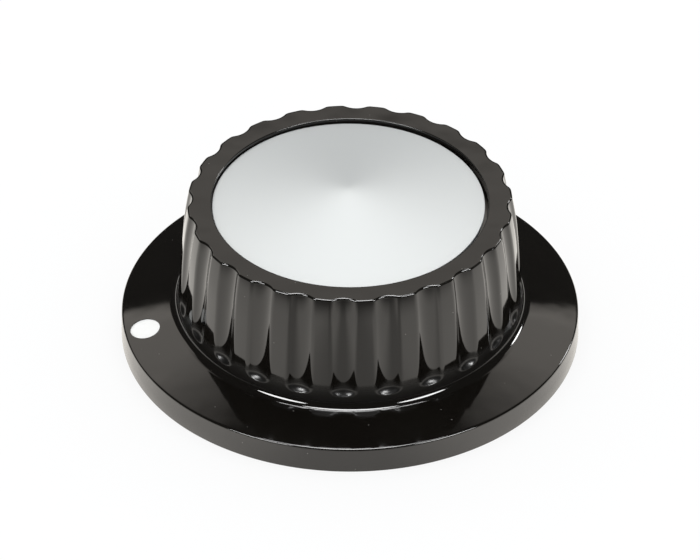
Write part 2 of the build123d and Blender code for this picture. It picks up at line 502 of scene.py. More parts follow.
@dataclass(frozen=True)
class TurnedMetal:
    """Metal faced on a lathe with a fine feed, so its marks are rings about Z.

    To the eye the rings are too fine to count: they draw the light out across them into a soft satin
    sheen.
    """

    name: str
    pale: str
    deep: str
    gloss: float
    gloss_spread: float
    stretch: float
    feed: float             # mm between rings; drawn coarser than the real feed so that it shows
    groove: float           # mm, depth of the rings
    scatter: float = 0.0    # share of the light that fine burrs and a clear lacquer scatter all round

    def build(self) -> bpy.types.Material:
        """Make the material: rings by distance from the axis vary the colour, the gloss and the surface.

        Returns:
            The finished material.
        """
        material, tree = bare_material(self.name)
        place = add_node(tree, "ShaderNodeTexCoord").outputs["Object"]
        rings = add_node(
            tree, "ShaderNodeTexNoise",
            {"noise_dimensions": "1D", "Scale": per_mm(self.feed), "Detail": 3.0, "Roughness": 0.7},
            {"W": from_axis(tree, place)},
        ).outputs["Fac"]
        tone = add_node(
            tree, "ShaderNodeMix",
            {"data_type": "RGBA", 6: linear(self.deep), 7: linear(self.pale)}, {"Factor": rings},
        )
        gloss = add_node(
            tree, "ShaderNodeMapRange",
            {"From Min": NOISE_LOW, "From Max": NOISE_HIGH,
             "To Min": self.gloss - self.gloss_spread, "To Max": self.gloss + self.gloss_spread},
            {"Value": rings},
        )
        bump = add_node(
            tree, "ShaderNodeBump",
            {"Strength": 1.0, "Distance": self.groove * METRES_PER_MM}, {"Height": rings},
        )
        along = add_node(tree, "ShaderNodeTangent", {"direction_type": "RADIAL", "axis": "Z"})
        shader = add_node(
            tree, "ShaderNodeBsdfPrincipled", {"Metallic": 1.0 - self.scatter, "Anisotropic": self.stretch},
            {"Base Color": tone.outputs[2], "Roughness": gloss.outputs["Result"],
             "Normal": bump.outputs["Normal"], "Tangent": along.outputs["Tangent"]},
        )
        add_node(tree, "ShaderNodeOutputMaterial", {}, {"Surface": shader.outputs["BSDF"]})
        return material


@dataclass(frozen=True)
class FillingPaint:
    """White alkyd paint wiped into a recess and left to level.

    To the eye it is a clean white whose skin has a soft gloss and isn't quite even.
    """

    name: str = "alkyd_paint_wiped"
    white: str = "#fdfdfb"
    shade: str = "#f8f8f5"
    index: float = 1.5
    gloss: float = 0.38
    skin_wave: float = 0.7          # mm
    skin_height: float = 0.004      # mm

    def build(self) -> bpy.types.Material:
        """Make the material: two whites in a slow noise and a gently uneven skin.

        Returns:
            The finished material.
        """
        material, tree = bare_material(self.name)
        place = add_node(tree, "ShaderNodeTexCoord").outputs["Object"]
        drift = add_node(
            tree, "ShaderNodeTexNoise", {"Scale": per_mm(self.skin_wave), "Detail": 3.0}, {"Vector": place}
        ).outputs["Fac"]
        tone = add_node(
            tree, "ShaderNodeMix",
            {"data_type": "RGBA", 6: linear(self.white), 7: linear(self.shade)}, {"Factor": drift},
        )
        bump = add_node(
            tree, "ShaderNodeBump",
            {"Strength": 1.0, "Distance": self.skin_height * METRES_PER_MM}, {"Height": drift},
        )
        shader = add_node(
            tree, "ShaderNodeBsdfPrincipled", {"Roughness": self.gloss, "IOR": self.index},
            {"Base Color": tone.outputs[2], "Normal": bump.outputs["Normal"]},
        )
        add_node(tree, "ShaderNodeOutputMaterial", {}, {"Surface": shader.outputs["BSDF"]})
        return material


@dataclass(frozen=True)
class BlackOxideSteel:
    """Alloy steel with a black oxide skin, oiled.

    To the eye it is a dark blue-grey satin, mottled where the oxide is thinner.
    """

    name: str = "steel_black_oxide"
    dark: str = "#26272a"
    worn: str = "#45464a"
    gloss: float = 0.38
    gloss_spread: float = 0.1
    mottle: float = 0.8             # mm

    def build(self) -> bpy.types.Material:
        """Make the material: a mottled dark metal, rougher where the oxide is thick.

        Returns:
            The finished material.
        """
        material, tree = bare_material(self.name)
        place = add_node(tree, "ShaderNodeTexCoord").outputs["Object"]
        mottle = add_node(
            tree, "ShaderNodeTexNoise", {"Scale": per_mm(self.mottle), "Detail": 4.0}, {"Vector": place}
        ).outputs["Fac"]
        tone = add_node(
            tree, "ShaderNodeMix",
            {"data_type": "RGBA", 6: linear(self.dark), 7: linear(self.worn)}, {"Factor": mottle},
        )
        gloss = add_node(
            tree, "ShaderNodeMapRange",
            {"To Min": self.gloss + self.gloss_spread, "To Max": self.gloss - self.gloss_spread},
            {"Value": mottle},
        )
        shader = add_node(
            tree, "ShaderNodeBsdfPrincipled", {"Metallic": 1.0},
            {"Base Color": tone.outputs[2], "Roughness": gloss.outputs["Result"]},
        )
        add_node(tree, "ShaderNodeOutputMaterial", {}, {"Surface": shader.outputs["BSDF"]})
        return material


@dataclass(frozen=True)
class MattPaper:
    """Sheet of matt white paper that the knob stands on.

    To the eye it is an even white with the knob's soft shadow. In gloss it shows a painted pool of light: it
    glows only near the knob, and brighter at the knob's sides than in front, painted where the lamps would
    light it.
    """

    name: str = "paper_matt_white"
    white: str = "#eaeaea"
    held: float = 0.85              # share of its white that is held; the rest takes light and shadow
    front: float = 0.9              # painted glow in gloss, in front of the knob
    sides: float = 1.75             # and at the knob's sides, painted brighter as if nearer the lamps
    far: float = 0.1                # and beyond the painted pool of light
    aside: Band = (4.0, 20.0)       # mm to either side, over which the sides' painted glow takes over from the front's
    lit: Band = (90.0, 57.0)        # mm from the axis, inwards, over which the painted pool of light begins
    painted_glow_tint: str = "#fffaf2"     # painted colour of the lamps' light on its white in gloss

    def build(self, right: Vector) -> bpy.types.Material:
        """Make the material: a matt sheet, mixed for seen and mirrored rays with a glow of the held white,
        which in gloss is a painted pool of light.

        Args:
            right: Direction to the camera's right.

        Returns:
            The finished material.
        """
        material, tree = bare_material(self.name)
        path = add_node(tree, "ShaderNodeLightPath").outputs
        seen = add_node(
            tree, "ShaderNodeMath", {"operation": "MAXIMUM"},
            {0: path["Is Camera Ray"], 1: path["Is Glossy Ray"]},
        )
        held = add_node(
            tree, "ShaderNodeMath", {"operation": "MAXIMUM"},
            {0: seen.outputs[0], 1: path["Is Transmission Ray"]},
        )
        share = add_node(tree, "ShaderNodeMath", {"operation": "MULTIPLY", 1: self.held}, {0: held.outputs[0]})
        sheet = add_node(tree, "ShaderNodeBsdfDiffuse", {"Color": linear(self.white)})
        place = add_node(tree, "ShaderNodeTexCoord").outputs["Object"]
        away = add_node(tree, "ShaderNodeVectorMath", {"operation": "LENGTH"}, {0: place})
        across = add_node(
            tree, "ShaderNodeVectorMath", {"operation": "DOT_PRODUCT", 1: tuple(right)}, {0: place}
        )
        aside = add_node(tree, "ShaderNodeMath", {"operation": "ABSOLUTE"}, {0: across.outputs["Value"]})
        # painted pool of light: in gloss the paper glows brighter at the knob's sides than in front, and dims
        # far from the knob
        lit = add_node(
            tree, "ShaderNodeMix", {"data_type": "FLOAT", 2: self.front, 3: self.sides},
            {"Factor": ramp(tree, aside.outputs[0], *self.aside)},
        )
        painted_pool = add_node(
            tree, "ShaderNodeMix", {"data_type": "FLOAT", 2: self.far},
            {"Factor": ramp(tree, away.outputs["Value"], *self.lit), 3: lit.outputs[0]},
        )
        strength = add_node(
            tree, "ShaderNodeMix", {"data_type": "FLOAT", 3: 1.0},
            {"Factor": path["Is Camera Ray"], 2: painted_pool.outputs[0]},
        )
        tint = add_node(
            tree, "ShaderNodeMix", {"data_type": "RGBA", 6: linear(self.painted_glow_tint), 7: linear("#ffffff")},
            {"Factor": path["Is Camera Ray"]},
        )
        glow = add_node(
            tree, "ShaderNodeEmission", {}, {"Color": tint.outputs[2], "Strength": strength.outputs[0]}
        )
        surface = add_node(
            tree, "ShaderNodeMixShader", {}, {0: share.outputs[0], 1: sheet.outputs[0], 2: glow.outputs[0]}
        )
        add_node(tree, "ShaderNodeOutputMaterial", {}, {"Surface": surface.outputs[0]})
        return material


@dataclass(frozen=True)
class KnobSizes:
    """Sizes of the skins in millimetres and degrees.

    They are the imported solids' own sizes and those of the fine forms that only a skin shows.
    """

    skirt_radius: float = 28.574
    skirt_edge_height: float = 3.4
    skirt_slope_deg: float = 10.0
    skirt_edge_rounding: float = 0.25
    skirt_wall: float = 2.2
    rim_wall: float = 2.0
    rim_draft_deg: float = 1.0
    rim_foot_rounding: float = 0.12
    grip_foot: float = 21.6
    grip_lean_deg: float = 4.2
    grip_crown: float = 0.34                # how far the top of the wall is drawn in
    grip_crown_height: float = 5.6          # over this much of its height
    ring_height: float = 19.95
    grip_foot_fillet: float = 1.2
    grip_foot_crease_deg: float = 14.0      # at which the wall cuts the foot fillet
    grip_top_rounding: float = 0.27
    grip_wall: float = 2.4
    ceiling_wall: float = 2.2
    flute_count: int = 24
    flute_nose: float = 2.45
    flute_depth: float = 0.55
    flute_lip: float = 1.2
    flute_end_squeeze: float = 1.6          # times that a ball end is shorter along the wall than a ball
    flute_end_lip: float = 0.4              # radius of the lip below a ball end
    flute_foot_land: float = 0.45           # plain wall between the fillet and the ball ends
    ring_width: float = 3.56
    inlay_thickness: float = 0.5
    inlay_rise: float = 2.45
    inlay_sink: float = 0.5
    inlay_side_gap: float = 0.3
    inlay_off_centre: float = 0.18          # how far the disc lies off the axis in its recess
    inlay_off_centre_deg: float = 77.1      # and which way, from +X
    inlay_edge_rounding: float = 0.08
    inlay_tip_rounding: float = 1.0
    recess_edge_rounding: float = 0.1
    dot_radius: float = 1.865
    dot_edge_distance: float = 2.54         # from the skirt's top edge to the dot's middle
    dot_turn_deg: float = 87.9
    dot_recess_depth: float = 0.45
    dot_paint_thickness: float = 0.3
    dot_meniscus: float = 0.05              # how far the paint climbs the recess wall
    hub_radius: float = 8.0
    hub_draft_deg: float = 1.0
    hub_setback: float = 1.0                # height of the hub's foot above the rim's
    hub_edge_rounding: float = 0.3
    rib_thickness: float = 2.0
    rib_setback: float = 1.5                # height of the ribs' foot above the skirt's underside
    rib_edge_rounding: float = 0.4
    hollow_rounding: float = 0.8
    bushing_radius: float = 5.75
    bushing_top: float = 13.7
    screw_height: float = 8.8
    screw_hole_radius: float = 2.3
    screw_boss_wall: float = 1.7
    screw_turns_deg: tuple[float, ...] = (0.0, 270.0)
    rib_turns_deg: tuple[float, ...] = (90.0, 180.0)

    @property
    def lean(self) -> float:
        """Lean of the grip's lands in radians."""
        return math.radians(self.grip_lean_deg)

    @property
    def top_lean(self) -> float:
        """Lean of the lands at the top, where the wall is crowned, in radians."""
        return self.lean + math.atan(2.0 * self.grip_crown / self.grip_crown_height)

    @property
    def slope(self) -> float:
        """Slope of the skirt's top in radians."""
        return math.radians(self.skirt_slope_deg)

    @property
    def rim_top(self) -> float:
        """Radius of the skirt's top edge before it is rounded."""
        return self.skirt_radius - self.skirt_edge_height * math.tan(math.radians(self.rim_draft_deg))

    @property
    def foot_height(self) -> float:
        """Height at which the grip's lands would meet the skirt's top."""
        return self.skirt_top(self.grip_foot)

    @property
    def grip_top(self) -> float:
        """Radius over the lands in the plane of the ring."""
        return self.grip_foot - (self.ring_height - self.foot_height) * math.tan(self.lean)

    @property
    def inlay_radius(self) -> float:
        """Radius of the inlay disc."""
        return self.grip_top - self.ring_width

    @property
    def seat_rim(self) -> float:
        """Height of the inlay's seat at its rim."""
        return self.ring_height - self.inlay_sink - self.inlay_thickness

    @property
    def ceiling(self) -> float:
        """Height of the hollow's ceiling."""
        return self.seat_rim - self.ceiling_wall

    def skirt_top(self, radius: float) -> float:
        """Height of the skirt's top at a distance from the axis."""
        return self.skirt_edge_height + (self.rim_top - radius) * math.tan(self.slope)

    def hollow_at(self, height: float) -> float:
        """Radius of the grip's inner wall at a height."""
        outside = self.grip_foot - (height - self.foot_height) * math.tan(self.lean)
        return outside - self.flute_depth - self.grip_wall

    def dot_place(self) -> Matrix:
        """Place of the index dot: its middle on the skirt's top, Z out of that surface.

        Returns:
            The transform in millimetres.
        """
        reach = self.rim_top - self.dot_edge_distance
        return (
            Matrix.Rotation(math.radians(self.dot_turn_deg), 4, "Z")
            @ Matrix.Translation((reach, 0.0, self.skirt_top(reach)))
            @ Matrix.Rotation(self.slope, 4, "Y")
        )


@dataclass
class Moulding:
    """The black moulding: skirt, fluted grip, recess, and the ribbed hollow underneath."""

    sizes: KnobSizes
    finish: GlossMoulding = field(default_factory=GlossMoulding)
    name: str = "moulding"
    coarse_share: int = 4               # one in so many columns goes on where the skin is plain
    fine_start: float = 1.1             # mm, from the inlay's edge to where every column starts
    coarse_end: float = 0.75            # mm, and to where the coarse ones of the recess end
    fine_end: float = 0.35              # mm, from the foot fillet to where every column ends
    hold: float = 0.06                  # mm, from a bend to the row that keeps its flat side flat
    lip_zone: Band = (0.44, 0.76)       # shares of half a flute's pitch between which its lip lies
    column_spans: tuple[int, ...] = (8, 12, 4)  # spans before, on and past the lip
    edge_spans: int = 10                # round the grip's top edge
    shank_rows: int = 8                 # evenly down the straight part of the flutes
    shank_margins: Band = (0.8, 0.25)   # mm, from the top of that part and from its end
    fillet_spans: int = 16              # round the foot fillet, less those that the crease takes away
    hub_spans: int = 144                # around the hub and the bushing's seat
    hole_spans: int = 96                # around a set screw's hole and its boss
    overlap: float = 1.0                # mm, by which hub, ribs and cutters reach past the skin they meet
    crease_deg: float = 32.0
    crease_near: float = 0.002          # mm, within which a point counts as on the foot's crease

    def columns(self) -> np.ndarray:
        """Angles of the fine columns, close together on the lips of the flutes and wider on the lands.

        Returns:
            Angles in radians, from zero up to a full turn, the same in each flute.
        """
        pitch = 2.0 * math.pi / self.sizes.flute_count
        start, end = self.lip_zone
        floor, lip, land = self.column_spans
        half = 0.5 * pitch * np.concatenate([
            np.linspace(0.0, start, floor, endpoint=False), np.linspace(start, end, lip, endpoint=False),
            np.linspace(end, 1.0, land + 1),
        ])
        whole = np.concatenate([half, pitch - half[-2:0:-1]])
        return (whole[None, :] + pitch * np.arange(self.sizes.flute_count)[:, None]).ravel()

    def flute_reach(self, lip: np.ndarray | float) -> np.ndarray | float:
        """Distance from a flute's middle to where its lip meets the land, for a lip of some radius."""
        s = self.sizes
        return np.sqrt((s.flute_nose + lip) ** 2 - (s.flute_nose - s.flute_depth + lip) ** 2)

    def flute_drop(self, side: np.ndarray, past: float) -> np.ndarray:
        """Drop of the surface below the lands at a place in a flute.

        The floor is a circle of the nose's radius whose middle stands off the wall, and the lip is a circle
        that touches both that one and the wall. Past the middle of the ball end the circles turn about that
        middle, squeezed along the wall, and the lip's radius goes with the square of the sine from the side's
        to the end's.

        Args:
            side: Distances from the flute's middle line.
            past: Distance past the middle of the ball end, zero above it.

        Returns:
            Zero on the lands, and negative in the flute.
        """
        s = self.sizes
        along = past * s.flute_end_squeeze
        across = np.hypot(side, along)
        lip = s.flute_lip + (s.flute_end_lip - s.flute_lip) * (along / np.maximum(across, 1e-6)) ** 2
        outer = self.flute_reach(lip)
        inner = outer * s.flute_nose / (s.flute_nose + lip)
        floor = s.flute_nose - s.flute_depth - np.sqrt(np.maximum(s.flute_nose ** 2 - across ** 2, 0.0))
        edge = np.sqrt(np.maximum(lip ** 2 - (across - outer) ** 2, 0.0)) - lip
        return np.where(across <= inner, floor, np.where(across < outer, edge, 0.0))

    def flute_end(self) -> float:
        """Distance up the wall from the grip's foot to the middle of the ball end."""
        ball = float(self.flute_reach(self.sizes.flute_end_lip)) / self.sizes.flute_end_squeeze
        return self.fillet_reach() + self.sizes.flute_foot_land + ball

    def fillet_reach(self) -> float:
        """Distance up the wall from the grip's foot to where its fillet ends."""
        s = self.sizes
        return s.grip_foot_fillet / math.tan(0.5 * (0.5 * math.pi + s.slope + s.lean))

    def wall_ring(self, up: float, angles: np.ndarray) -> np.ndarray:
        """Ring of the fluted wall at a distance up it from the grip's foot.

        Each point leaves the leaning wall along its normal by the flute's drop and by the crown, which grows
        with the square of the distance into the wall's upper part.

        Args:
            up: Distance up the wall from its foot.
            angles: Angles of the columns.

        Returns:
            The ring's points.
        """
        s = self.sizes
        pitch = 2.0 * math.pi / s.flute_count
        base = s.grip_foot - up * math.sin(s.lean)
        side = ((angles + 0.5 * pitch) % pitch - 0.5 * pitch) * base
        top = (s.ring_height - s.foot_height) / math.cos(s.lean)
        crown = s.grip_crown * max((up - top) / s.grip_crown_height + 1.0, 0.0) ** 2
        drop = self.flute_drop(side, max(self.flute_end() - up, 0.0)) - crown
        height = s.foot_height + up * math.cos(s.lean) + drop * math.sin(s.lean)
        return ring(base + drop * math.cos(s.lean), height, angles)

    def grip_rings(self, angles: np.ndarray) -> list[np.ndarray]:
        """Fine rings from the flat ring on top, over the rounded edge and down the fluted wall.

        The edge is an arc carried round the outline of the fluted wall's top, along that outline's normal.
        Down the wall the rows lie close together where it bends: on the ball ends, and most of all on their
        lips.

        Args:
            angles: Angles of the columns.

        Returns:
            Rings of points from the top down.
        """
        s = self.sizes
        middle = s.ring_height - s.grip_top_rounding
        tangent = middle + s.grip_top_rounding * math.sin(s.top_lean)
        top_up = (tangent - s.foot_height) / math.cos(s.lean)
        edge = self.wall_ring(top_up, angles)
        along = np.roll(edge, -1, axis=0) - np.roll(edge, 1, axis=0)
        outward = np.stack([along[:, 1], -along[:, 0]], axis=1)
        outward /= np.linalg.norm(outward, axis=1, keepdims=True)
        turns = np.linspace(0.5 * math.pi, s.top_lean, self.edge_spans + 1)
        over = []
        for turn in turns[:-1]:
            step = edge.copy()
            step[:, :2] += outward * s.grip_top_rounding * (math.cos(turn) - math.cos(s.top_lean))
            step[:, 2] = middle + s.grip_top_rounding * math.sin(turn)
            over.append(step)
        inner = ring(s.inlay_radius + self.fine_start, s.ring_height, angles)
        held = over[0].copy()
        held[:, :2] -= outward * self.hold
        flat = [inner, 0.45 * inner + 0.55 * held, held]
        end, reach = self.flute_end(), self.fillet_reach()
        above, below = self.shank_margins
        even = np.linspace(top_up - above, end + below, self.shank_rows)
        shank = np.concatenate([[top_up, top_up - self.hold], even, [end]])
        shares = np.concatenate([np.linspace(0.1, 0.74, 9), np.linspace(0.79, 1.0, 10)])
        ball = end - shares * (end - reach - s.flute_foot_land)
        crease = (self.foot_outline()[0][1] - s.foot_height) / math.cos(s.lean)
        rows = np.concatenate([shank, ball, [reach + self.hold, crease + self.hold]])
        return flat + over + [self.wall_ring(float(up), angles) for up in rows]

    def foot_outline(self) -> np.ndarray:
        """Outline of the fillet between the grip and the skirt, from a fine crease at the wall outwards.

        The arc slides in along the skirt until the wall cuts it at the crease's angle.

        Returns:
            Rows of radius and height.
        """
        s = self.sizes
        corner = np.array([s.grip_foot, s.foot_height])
        wall = corner + np.array([-math.sin(s.lean), math.cos(s.lean)])
        skirt = np.array([s.rim_top, s.skirt_edge_height])
        away = (skirt - corner) / np.linalg.norm(skirt - corner)
        share = (0.5 * math.pi - s.slope - s.lean) / self.fillet_spans
        skipped = max(1, round(math.radians(s.grip_foot_crease_deg) / share))
        slide = s.grip_foot_fillet * (1.0 - math.cos(skipped * share)) / math.cos(s.slope + s.lean)
        arc = rounded(wall, corner, skirt, s.grip_foot_fillet, self.fillet_spans)[skipped:] - away * slide
        return np.vstack([arc, arc[-1] + away * self.hold, arc[-1] + away * self.fine_end])

    def mark_crease(self, piece: bpy.types.Object) -> None:
        """Mark the edges of the foot's crease as sharp, so that its two sides shade apart.

        Args:
            piece: The moulding, already shaded smooth.
        """
        mesh = piece.data
        places, ends = np.empty(3 * len(mesh.vertices)), np.empty(2 * len(mesh.edges), dtype=np.int32)
        sharp = np.empty(len(mesh.edges), dtype=bool)
        mesh.vertices.foreach_get("co", places)
        mesh.edges.foreach_get("vertices", ends)
        mesh.edges.foreach_get("use_edge_sharp", sharp)
        x, y, z = places.reshape(-1, 3).T / METRES_PER_MM
        radius, height = self.foot_outline()[0]
        on_ring = np.hypot(np.hypot(x, y) - radius, z - height) < self.crease_near
        mesh.edges.foreach_set("use_edge_sharp", sharp | on_ring[ends.reshape(-1, 2)].all(axis=1))

    def under_outline(self) -> np.ndarray:
        """Outline from the skirt's top over the rim and through the hollow to the ceiling.

        The rows on the flat sides stand close to their ends, which keeps those sides flat under the light.

        Returns:
            Rows of radius and height.
        """
        s = self.sizes
        inside = s.skirt_radius - s.rim_wall
        mouth = s.hollow_at(s.foot_height)
        top = np.array([s.rim_top, s.skirt_edge_height])
        foot_out, foot_in = np.array([s.skirt_radius, 0.0]), np.array([inside, 0.0])
        under_rim = np.array([inside, s.skirt_top(inside) - s.skirt_wall])
        wall_foot = np.array([mouth, s.skirt_top(mouth) - s.skirt_wall])
        wall_top = np.array([s.hollow_at(s.ceiling), s.ceiling])
        start = self.foot_outline()[-1]
        edge = rounded(start, top, foot_out, s.skirt_edge_rounding, steps=12)
        return np.vstack([
            start + (edge[0] - start) * np.linspace(0.06, 0.97, 5)[:, None], edge,
            edge[-1] + (foot_out - edge[-1]) * np.array([[0.04], [0.5]]),
            rounded(top, foot_out, foot_in, s.rim_foot_rounding, steps=5),
            rounded(foot_out, foot_in, under_rim, s.rim_foot_rounding, steps=4),
            rounded(foot_in, under_rim, wall_foot, s.hollow_rounding, steps=6),
            rounded(under_rim, wall_foot, wall_top, s.hollow_rounding, steps=6),
            rounded(wall_foot, wall_top, (0.0, s.ceiling), s.hollow_rounding, steps=6),
            [[0.6 * wall_top[0], s.ceiling]],
        ])

    def recess_outline(self) -> np.ndarray:
        """Outline from the middle of the inlay's seat up the recess wall to the ring.

        Returns:
            Rows of radius and height.
        """
        s = self.sizes
        wall = s.inlay_radius + s.inlay_side_gap
        seat = s.seat_rim - s.inlay_side_gap * s.inlay_rise / s.inlay_radius
        mouth = rounded(
            (wall, seat), (wall, s.ring_height), (s.grip_top, s.ring_height), s.recess_edge_rounding, steps=7
        )
        return np.vstack([
            [[0.5 * wall, 0.5 * (seat + s.seat_rim + s.inlay_rise)], [wall, seat]], mouth,
            [[mouth[-1][0] + self.hold, s.ring_height], [s.inlay_radius + self.coarse_end, s.ring_height]],
        ])

    def stand_ins(self) -> list[bpy.types.Object]:
        """Hub, ribs and screw bosses that stand in the hollow.

        The hub is a spun outline. The ribs and bosses are flat sections carried out from the axis.

        Returns:
            Closed skins to be added.
        """
        s = self.sizes
        top = s.ceiling + self.overlap
        wide = s.hub_radius + (top - s.hub_setback) * math.tan(math.radians(s.hub_draft_deg))
        corner = (s.hub_radius, s.hub_setback)
        lower = rounded((wide, top), corner, (0.0, s.hub_setback), s.hub_edge_rounding, steps=5)
        hub = np.vstack([[[0.0, top], [wide, top]], lower, [[0.0, s.hub_setback]]])
        made = [new_piece("hub", *turned(hub, self.hub_spans))]
        mouth = s.hollow_at(s.foot_height)
        foot = s.skirt_top(mouth) - s.skirt_wall + s.rib_setback
        half, end = 0.5 * s.rib_thickness, mouth + 0.5 * self.overlap
        web = np.vstack([
            [[half, top], [-half, top]],
            rounded((-half, top), (-half, foot), (half, foot), s.rib_edge_rounding, steps=5),
            rounded((-half, foot), (half, foot), (half, top), s.rib_edge_rounding, steps=5),
        ])
        round_turns = np.linspace(math.pi, 2.0 * math.pi, self.hole_spans // 2 + 1)
        radius = s.screw_hole_radius + s.screw_boss_wall
        boss = np.vstack([
            [[radius, top], [-radius, top]],
            np.column_stack([radius * np.cos(round_turns), s.screw_height + radius * np.sin(round_turns)]),
        ])
        for label, section, turns in (("rib", web, s.rib_turns_deg), ("boss", boss, s.screw_turns_deg)):
            for turn in turns:
                place = Matrix.Rotation(math.radians(turn), 4, "Z")
                made.append(new_piece(f"{label}_{turn:.0f}", *bar(section, 0.0, end), place))
        return made

    def cutters(self) -> list[bpy.types.Object]:
        """Cylinders of the bushing's seat, the set screws' holes and the recess for the dot.

        Returns:
            Closed skins to be cut out.
        """
        s = self.sizes
        seat = np.array([
            [0.0, s.bushing_top], [s.bushing_radius, s.bushing_top],
            [s.bushing_radius, -self.overlap], [0.0, -self.overlap],
        ])
        made = [new_piece("seat", *turned(seat, self.hub_spans))]
        drill = np.array([
            [0.0, s.skirt_radius], [s.screw_hole_radius, s.skirt_radius],
            [s.screw_hole_radius, 0.0], [0.0, 0.0],
        ])
        for turn in s.screw_turns_deg:
            place = (
                Matrix.Rotation(math.radians(turn), 4, "Z") @ Matrix.Translation((0.0, 0.0, s.screw_height))
                @ Matrix.Rotation(0.5 * math.pi, 4, "Y")
            )
            made.append(new_piece(f"drill_{turn:.0f}", *turned(drill, self.hole_spans), place))
        recess = np.array([
            [0.0, self.overlap], [s.dot_radius, self.overlap],
            [s.dot_radius, -s.dot_recess_depth], [0.0, -s.dot_recess_depth],
        ])
        made.append(new_piece("dot_recess", *turned(recess, DOT_SPANS), s.dot_place()))
        return made

    def build(self) -> bpy.types.Object:
        """Make the outside as one skin, stand the hub and webs in its hollow and cut its holes.

        Returns:
            The finished piece.
        """
        s = self.sizes
        fine = self.columns()
        coarse = fine[:: self.coarse_share]
        rings = [ring(radius, height, coarse) for radius, height in self.recess_outline()]
        rings += self.grip_rings(fine)
        rings += [ring(radius, height, fine) for radius, height in self.foot_outline()]
        rings += [ring(radius, height, coarse) for radius, height in self.under_outline()]
        points, faces = skin(rings, (0.0, 0.0, s.seat_rim + s.inlay_rise), (0.0, 0.0, s.ceiling))
        piece = new_piece(self.name, points, faces)
        work_in(piece, self.stand_ins(), Join.ADD)
        work_in(piece, self.cutters(), Join.CUT)
        smooth(piece, self.crease_deg)
        self.mark_crease(piece)
        return piece

    def dress(self, piece: bpy.types.Object) -> None:
        """Give the piece its finish and its place in the frame.

        Args:
            piece: The piece that build made.
        """
        piece.data.materials.clear()
        piece.data.materials.append(self.finish.build())
        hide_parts("knob_body")
        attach(piece, "root")


@dataclass
class Inlay:
    """The coned metal disc in the recess on top."""

    sizes: KnobSizes
    finish: TurnedMetal = field(default_factory=lambda: TurnedMetal(
        name="aluminium_fine_turned", pale="#d4d7d7", deep="#ced1d1", gloss=0.5, gloss_spread=0.04,
        stretch=0.25, feed=0.12, groove=0.0004, scatter=0.45,
    ))
    name: str = "inlay"
    spans: int = 360                    # around the disc
    crease_deg: float = 40.0

    def build(self) -> bpy.types.Object:
        """Spin the disc's outline: coned top, eased edge, side and coned back.

        The top falls with the root of the radius squared plus a rounding squared, so the cone's tip is soft,
        and its rings lie closer there.

        Returns:
            The finished piece.
        """
        s = self.sizes
        rim = np.array([s.inlay_radius, s.seat_rim + s.inlay_thickness])
        below = np.array([s.inlay_radius, s.seat_rim])
        shares = np.concatenate([np.linspace(0.0, 0.3, 26), np.linspace(0.34, 0.985, 14)])
        reach = shares * s.inlay_radius
        fall = np.hypot(reach, s.inlay_tip_rounding) - s.inlay_tip_rounding
        whole = math.hypot(s.inlay_radius, s.inlay_tip_rounding) - s.inlay_tip_rounding
        top = np.column_stack([reach, rim[1] + s.inlay_rise * (1.0 - fall / whole)])
        edge = rounded(top[-1], rim, below, s.inlay_edge_rounding, steps=6)
        back = np.array([0.0, s.seat_rim + s.inlay_rise])
        outline = np.vstack([top, edge, [below], below + (back - below) * np.array([[0.5], [1.0]])])
        turn = math.radians(s.inlay_off_centre_deg)
        off = s.inlay_off_centre * Vector((math.cos(turn), math.sin(turn), 0.0))
        piece = new_piece(self.name, *turned(outline, self.spans), Matrix.Translation(off))
        smooth(piece, self.crease_deg)
        return piece

    def dress(self, piece: bpy.types.Object) -> None:
        """Give the piece its finish and its place in the frame.

        Args:
            piece: The piece that build made.
        """
        piece.data.materials.append(self.finish.build())
        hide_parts("inlay_disc")
        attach(piece, "root")


@dataclass
class IndexDot:
    """The white paint in its recess on the skirt."""

    sizes: KnobSizes
    finish: FillingPaint = field(default_factory=FillingPaint)
    name: str = "dot_paint"
    crease_deg: float = 50.0

    def build(self) -> bpy.types.Object:
        """Spin the paint's outline: a level middle that climbs the recess wall in a curve by the sixth power.

        Returns:
            The finished piece.
        """
        s = self.sizes
        level = s.dot_paint_thickness - s.dot_recess_depth
        share = np.linspace(0.0, 1.0, 24)
        skin_top = np.column_stack([share * s.dot_radius, level + s.dot_meniscus * share ** 6])
        outline = np.vstack([skin_top, [[s.dot_radius, -s.dot_recess_depth], [0.0, -s.dot_recess_depth]]])
        piece = new_piece(self.name, *turned(outline, DOT_SPANS), s.dot_place())
        smooth(piece, self.crease_deg)
        return piece

    def dress(self, piece: bpy.types.Object) -> None:
        """Give the piece its finish and its place in the frame.

        Args:
            piece: The piece that build made.
        """
        piece.data.materials.append(self.finish.build())
        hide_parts("index_dot")
        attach(piece, "root")


@dataclass
class ShaftClamp:
    """The brass bushing and the two set screws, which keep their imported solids."""

    brass: TurnedMetal = field(default_factory=lambda: TurnedMetal(
        name="brass_turned", pale="#d8b878", deep="#c29c58", gloss=0.26, gloss_spread=0.06, stretch=0.4,
        feed=0.16, groove=0.002,
    ))
    steel: BlackOxideSteel = field(default_factory=BlackOxideSteel)

    def dress(self) -> list[bpy.types.Object]:
        """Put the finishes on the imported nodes.

        Returns:
            The nodes that were dressed.
        """
        dressed = []
        for node, finish in (("shaft_bushing", self.brass), ("set_screws", self.steel)):
            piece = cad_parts[node]
            material = finish.build()
            if not piece.data.materials:
                piece.data.materials.append(material)
            for slot in piece.material_slots:
                slot.material = material
            dressed.append(piece)
        return dressed


@dataclass(frozen=True)
class Lamp:
    """A soft lamp that faces the knob, placed by where it stands seen from the camera's side."""

    name: str
    bearing_deg: float      # from straight in front of the knob, to the camera's right
    height_deg: float       # above the floor
    width_deg: float
    depth_deg: float
    radiance: float
    distance: float = 1.0   # m
    lights_matt: bool = False
    tint: str = "#ffffff"
    face: Face = Face.OVAL
    only: str = ""          # the one piece that it lights, where flags keep it off the others
    graded: bool = False    # whether its face fades to the top and dims in the middle


